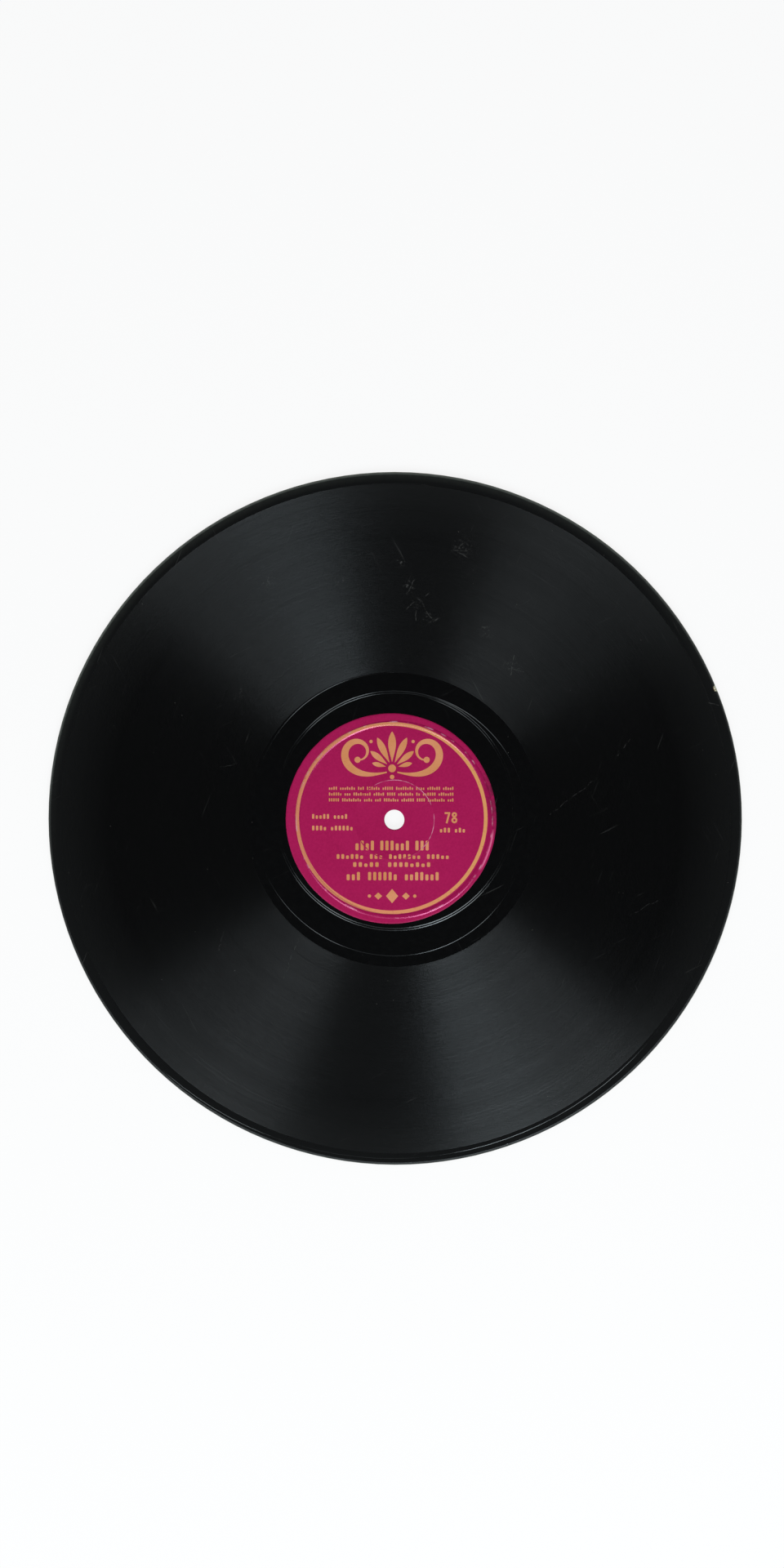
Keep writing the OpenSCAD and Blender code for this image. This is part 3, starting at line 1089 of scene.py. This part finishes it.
# The palmette from its foot: leaves as (angle, distance, length, width), scrolls as (start, heading, length,
# bends in degrees a millimetre) and (widest, thinnest, where it is widest), dots as (x, y, radius)
MIDDLE_LEAF = (90, 2.3, 10.9, 2.7)
SIDE_LEAVES = ((64, 2.3, 9.9, 2.3), (38, 2.3, 7.6, 2.0), (14, 2.4, 5.0, 1.5))
SCROLL = ((1.9, -1.5), -12, 37.5, 0.2, 19.8)
SCROLL_PEN = (2.7, 0.5, 0.42)
SCROLL_DOT_R, SIDE_DOT, MIDDLE_DOTS = 1.1, (7.6, 9.6, 0.6), ((0, -0.1, 1.4), (0, -3.2, 0.8))

# Steps of both, the power that rounds a scroll, and the tip of a leaf with the powers that shape it
SCROLL_STEPS, LEAF_STEPS, PEN_POWER = 44, 16, 1.5
LEAF_TIP, LEAF_LEAN, LEAF_POWER = 0.12, 1.35, 0.8


def scroll(start, heading, length, bend_a, bend_b):
    """A path whose bend changes evenly from bend_a to bend_b."""
    x, y = start
    path = [start]
    turn = radians(heading)
    step = length / SCROLL_STEPS
    for i in range(SCROLL_STEPS):
        turn += radians(bend_a + (bend_b - bend_a) * (i + 0.5) / SCROLL_STEPS) * step
        x += step * cos(turn)
        y += step * sin(turn)
        path.append((x, y))
    return path


def pen(widest, thinnest, peak):
    """Width of a stroke that swells to its widest at peak and thins towards both ends."""
    def width(share):
        part = share / peak if share < peak else (1 - share) / (1 - peak)
        return thinnest + (widest - thinnest) * sin(part * pi / 2) ** PEN_POWER
    return width


def palmette(ink, x, y):
    """A fan of leaves between two large scrolls, about its foot at x, y."""
    def moved(path, mirror=1):
        return [(x + mirror * px, y + py) for px, py in path]

    def leaf(angle, near, length, widest, mirror=1):
        path = [polar(near + length * i / LEAF_STEPS, angle) for i in range(LEAF_STEPS + 1)]
        width = lambda share: LEAF_TIP + widest * sin(pi * share**LEAF_LEAN) ** LEAF_POWER
        ink.ribbon(moved(path, mirror), width)

    for mirror in (1, -1):
        large = moved(scroll(*SCROLL), mirror)
        ink.ribbon(large, pen(*SCROLL_PEN))
        ink.disc(*large[-1], SCROLL_DOT_R)
        for side_leaf in SIDE_LEAVES:
            leaf(*side_leaf, mirror)
        dot_x, dot_y, radius = SIDE_DOT
        ink.disc(x + mirror * dot_x, y + dot_y, radius)
    leaf(*MIDDLE_LEAF)
    for dot_x, dot_y, radius in MIDDLE_DOTS:
        ink.disc(x + dot_x, y + dot_y, radius)


# The number 78: stroke, width and foot of the 7, middle of the 8 and its rings as (height, radius)
DIGIT_STROKE, SEVEN_W, SEVEN_FOOT, EIGHT_X = 0.17, 0.5, 0.35, 1.75
EIGHT_RINGS = ((0.27, 0.27), (0.76, 0.24))


def speed_number(ink, x, y, height):
    stroke, width = height * DIGIT_STROKE, height * SEVEN_W
    top, right = y + height - stroke / 2, x + width
    ink.ribbon([(x, top), (right, top)], lambda share: stroke)
    ink.ribbon([(right - stroke / 2, top), (x + width * SEVEN_FOOT, y)], lambda share: stroke)
    for up, radius in EIGHT_RINGS:
        ink.ring(x + width * EIGHT_X, y + height * up, height * radius - stroke / 2, stroke)


# The small ornament: lozenges as (half width, half height), and how far from the middle its pieces are
LOZENGE, SIDE_LOZENGE, SIDE_LOZENGE_X = (2.2, 2.6), (1.4, 1.3), 5.0
ORNAMENT_DOT_X, ORNAMENT_DOT_R = 8.2, 0.6


def small_ornament(ink, x, y):
    """Lozenges and dots in a short row."""
    for mirror in (0, 1, -1):
        middle = x + mirror * SIDE_LOZENGE_X
        width, height = SIDE_LOZENGE if mirror else LOZENGE
        width *= mirror or 1
        ink.outline([(middle, y - height), (middle + width, y), (middle, y + height), (middle - width, y)])
        if mirror:
            ink.disc(x + mirror * ORNAMENT_DOT_X, y, ORNAMENT_DOT_R)


# Lines of marks as (left, right, middle height, mark height, groups, gap), in millimetres
SMALL_LINES = (
    (-23.8, 21.5, 11.4, 1.15, (4, 7, 3, 6, 5, 8, 4, 6, 5), 0.8),
    (-23.8, 21.5, 9.3, 1.15, (6, 3, 8, 5, 4, 7, 2, 6, 7), 0.8),
    (-23.8, 21.5, 7.2, 1.15, (5, 9, 4, 3, 7, 6, 4, 8, 3), 0.8),
    (-30.0, -16.8, 1.2, 1.7, (5, 4), 1.2),
    (-30.0, -14.8, -3.0, 1.7, (4, 6), 1.2),
    (16.2, 25.8, -3.7, 1.7, (3, 3), 1.2),
)
LAST_LINE = (-17.6, 16.4, -20.4, 3.0, (3, 6, 7), 2.2)
TITLE_LINES = {
    "a": (
        (-14.4, 12.8, -9.3, 3.5, (4, 6, 3), 1.6),
        (-21.2, 20.0, -13.3, 1.7, (6, 3, 7, 5), 1.8),
        (-15.3, 13.4, -16.2, 1.7, (5, 8), 2.6),
    ),
    "b": (
        (-17.4, 15.8, -9.3, 3.5, (5, 3, 7), 1.8),
        (-18.2, 17.0, -13.3, 1.7, (4, 8, 5), 1.8),
        (-11.3, 9.4, -16.2, 1.7, (8,), 2.6),
    ),
}


# Places of the palmette, the number, with its height, and the ornament
PALMETTE, NUMBER, ORNAMENT = (-0.8, 18.7), (18.2, -1.2, 4.0), (-0.8, -27.6)


def print_object(side):
    """The print of one side: an ornament, lines of marks in place of words, and the speed."""
    ink = Print(side)
    palmette(ink, *PALMETTE)
    for seed, line in enumerate((*SMALL_LINES, *TITLE_LINES[side], LAST_LINE)):
        ink.words(*line, seed)
    speed_number(ink, *NUMBER)
    small_ornament(ink, *ORNAMENT)
    return ink.object()


def dress_side(side, seed, flaws, scratches, scuffs):
    materials = [
        shellac("shellac_smooth_" + side, seed, scratches, scuffs),
        shellac("shellac_grooved_" + side, seed, scratches, scuffs, grooved=True),
        shellac("shellac_burnished_" + side, seed, scratches, scuffs, shine=BURNISHED_SHINE),
        broken_shellac(side),
    ]
    facing = facing_shell(flaws).object("shellac_facing_" + side, materials, side)
    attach(facing, "root")
    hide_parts("facing_" + side)
    label = label_object(side, seed)
    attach(label, "root")
    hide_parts("label_" + side)
    ink = print_object(side)
    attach(ink, "root")


def dress_inner_layers():
    core, paper = core_material(), kraft_paper()
    for node, material in (("core", core), ("paper_a", paper), ("paper_b", paper)):
        for slot in frame["nodes"][node].material_slots:
            slot.material = material


# The stage

# The floor, in metres. The camera sees it partly lit by itself, and wholly so further out.
FLOOR_HALF, FLOOR_WHITE, FLOOR_ROUGH = 3.0, (0.9, 0.9, 0.9, 1), 0.9
FLOOR_OWN_LIGHT, FLOOR_FADE = 0.85, (0.3, 1.5)


def floor():
    m = Material("floor_white")
    m.give(Base_Color=FLOOR_WHITE, Roughness=FLOOR_ROUGH)
    rays = m.node("ShaderNodeLightPath")
    glow = m.node("ShaderNodeEmission", {"Color": (1, 1, 1, 1), "Strength": 1.0})
    own = m.remap(m.radius(), *FLOOR_FADE, FLOOR_OWN_LIGHT, 1.0, smooth=True)
    share = m.times(rays.outputs["Is Camera Ray"], own)
    mixed = m.node("ShaderNodeMixShader", {0: share, 1: m.shader.outputs[0], 2: glow.outputs[0]})
    m.set(m.tree.nodes["Material Output"].inputs["Surface"], mixed.outputs[0])
    corners = [(x * FLOOR_HALF, y * FLOOR_HALF, 0) for x, y in ((-1, -1), (1, -1), (1, 1), (-1, 1))]
    made = add_object("floor", new_mesh("floor", corners, [(0, 1, 2, 3)], [m.data]))


# Lamps as (name, first and last azimuth that they cover as seen from the spindle, radiance, tint): two soft
# boxes on each side and a weak lamp between the pairs
SOFT_BOXES = (
    ("left_outer", 217.4, 231.8, 1.85, (0.9, 1.0, 1.05)),
    ("left_inner", 231.8, 248.5, 3.35, (0.9, 1.0, 1.05)),
    ("middle", 253.0, 274.0, 0.34, (0.9, 1.0, 1.05)),
    ("right_inner", 278.4, 295.5, 5.8, (0.87, 1.0, 1.07)),
    ("right_outer", 295.5, 313.2, 3.35, (0.9, 1.0, 1.05)),
)
BOX_DISTANCE, BOX_ZENITH, BOX_HEIGHT = 1.25, 50, 0.62

# Power of an area lamp for each square metre and unit of radiance
LAMP_POWER = 4


def soft_box(name, first, last, radiance, tint):
    """Area lamp over the disc that covers a range of azimuth as seen from the spindle axis."""
    zenith = radians(BOX_ZENITH)
    away = Vector((*polar(sin(zenith), (first + last) / 2), cos(zenith)))
    width = 2 * BOX_DISTANCE * sin(zenith) * tan(radians(last - first) / 2)
    light = bpy.data.lights.new(name, "AREA")
    light.shape = "RECTANGLE"
    light.size, light.size_y = width, BOX_HEIGHT
    light.energy = radiance * LAMP_POWER * width * BOX_HEIGHT
    light.color = tint
    turn = away.to_track_quat("Z", "Y").to_matrix().to_4x4()
    add_object(name, light).matrix_world = Matrix.Translation(away * BOX_DISTANCE) @ turn


# What matt surfaces get from the world, and what reflections show: a horizon that dims away from one
# direction and gives way to a dark top
AMBIENT, OVERHEAD = 0.5, 0.02
HORIZON, HORIZON_DIM, HORIZON_TOWARDS = 1.0, 0.25, 115
HORIZON_SIDES, HORIZON_TOP = (-0.6, 0.6), (0.05, 0.45)


def world():
    """White where the camera sees it, even for matt surfaces, and dark overhead in reflections."""
    w = Nodes(bpy.data.worlds.new("studio"))
    bpy.context.scene.world = w.data
    w.data.cycles.sampling_method = "NONE"
    rays = w.node("ShaderNodeLightPath").outputs
    direction = w.node("ShaderNodeTexCoord").outputs["Generated"]
    height = w.node("ShaderNodeSeparateXYZ", {0: direction}).outputs["Z"]
    side = w.measure("DOT_PRODUCT", direction, (*polar(1, HORIZON_TOWARDS), 0))
    horizon = w.remap(side, *HORIZON_SIDES, HORIZON_DIM, HORIZON, smooth=True)
    reflected = w.remap(height, *HORIZON_TOP, horizon, OVERHEAD, smooth=True)
    lit = w.node("ShaderNodeMix", {0: rays["Is Glossy Ray"], 2: AMBIENT, 3: reflected}).outputs[0]
    seen = w.node("ShaderNodeMix", {0: rays["Is Camera Ray"], 2: lit, 3: 1.0}).outputs[0]
    background = w.tree.nodes["Background"].inputs
    w.set(background["Color"], (1, 1, 1, 1))
    w.set(background["Strength"], seen)


# The camera stands almost straight above the disc. The spindle axis is at this pixel of a 960 by 1920
# picture, and the rim's radius in pixels sets the distance.
FRAME_W, FRAME_H = 960, 1920
SPINDLE_PIXEL_X, SPINDLE_PIXEL_Y = 482.9, 1003.7
RIM_PIXEL_R = 424.7
TILT_UP, TILT_RIGHT = 2.3, 1.5
LENS, SENSOR = 85, 36
CLIP_NEAR, CLIP_FAR = 0.05, 20


def camera():
    data = bpy.data.cameras.new("camera")
    data.lens, data.sensor_width = LENS, SENSOR
    data.clip_start, data.clip_end = CLIP_NEAR, CLIP_FAR
    per_pixel = DISC_R * MM / RIM_PIXEL_R
    right, up = FRAME_W / 2 - SPINDLE_PIXEL_X, SPINDLE_PIXEL_Y - FRAME_H / 2
    from_spindle = Vector((right, up, FRAME_H * LENS / SENSOR)) * per_pixel
    turn = Euler((radians(-TILT_UP), radians(TILT_RIGHT), 0)).to_matrix()
    place = Vector((0, 0, DISC_T / 2 * MM)) + turn @ from_spindle
    made = add_object("camera", data)
    made.matrix_world = Matrix.Translation(place) @ turn.to_4x4()
    bpy.context.scene.camera = made


# Seeds of each side's texture and of its nicks. Side B has every third scratch and scuff of side A.
TEXTURE_SEED_A, RIM_SEED_A = 3, 11
TEXTURE_SEED_B, RIM_SEED_B = 8, 29
SPARSER = 3

dress_inner_layers()
dress_side("a", TEXTURE_SEED_A, rim_flaws(RIM_SEED_A, CHIP), SCRATCHES_A, SCUFFS_A)
dress_side("b", TEXTURE_SEED_B, rim_flaws(RIM_SEED_B), SCRATCHES_A[::SPARSER], SCUFFS_A[::SPARSER])
floor()
for box in SOFT_BOXES:
    soft_box(*box)
world()
camera()
bpy.context.scene.view_settings.view_transform = "Standard"
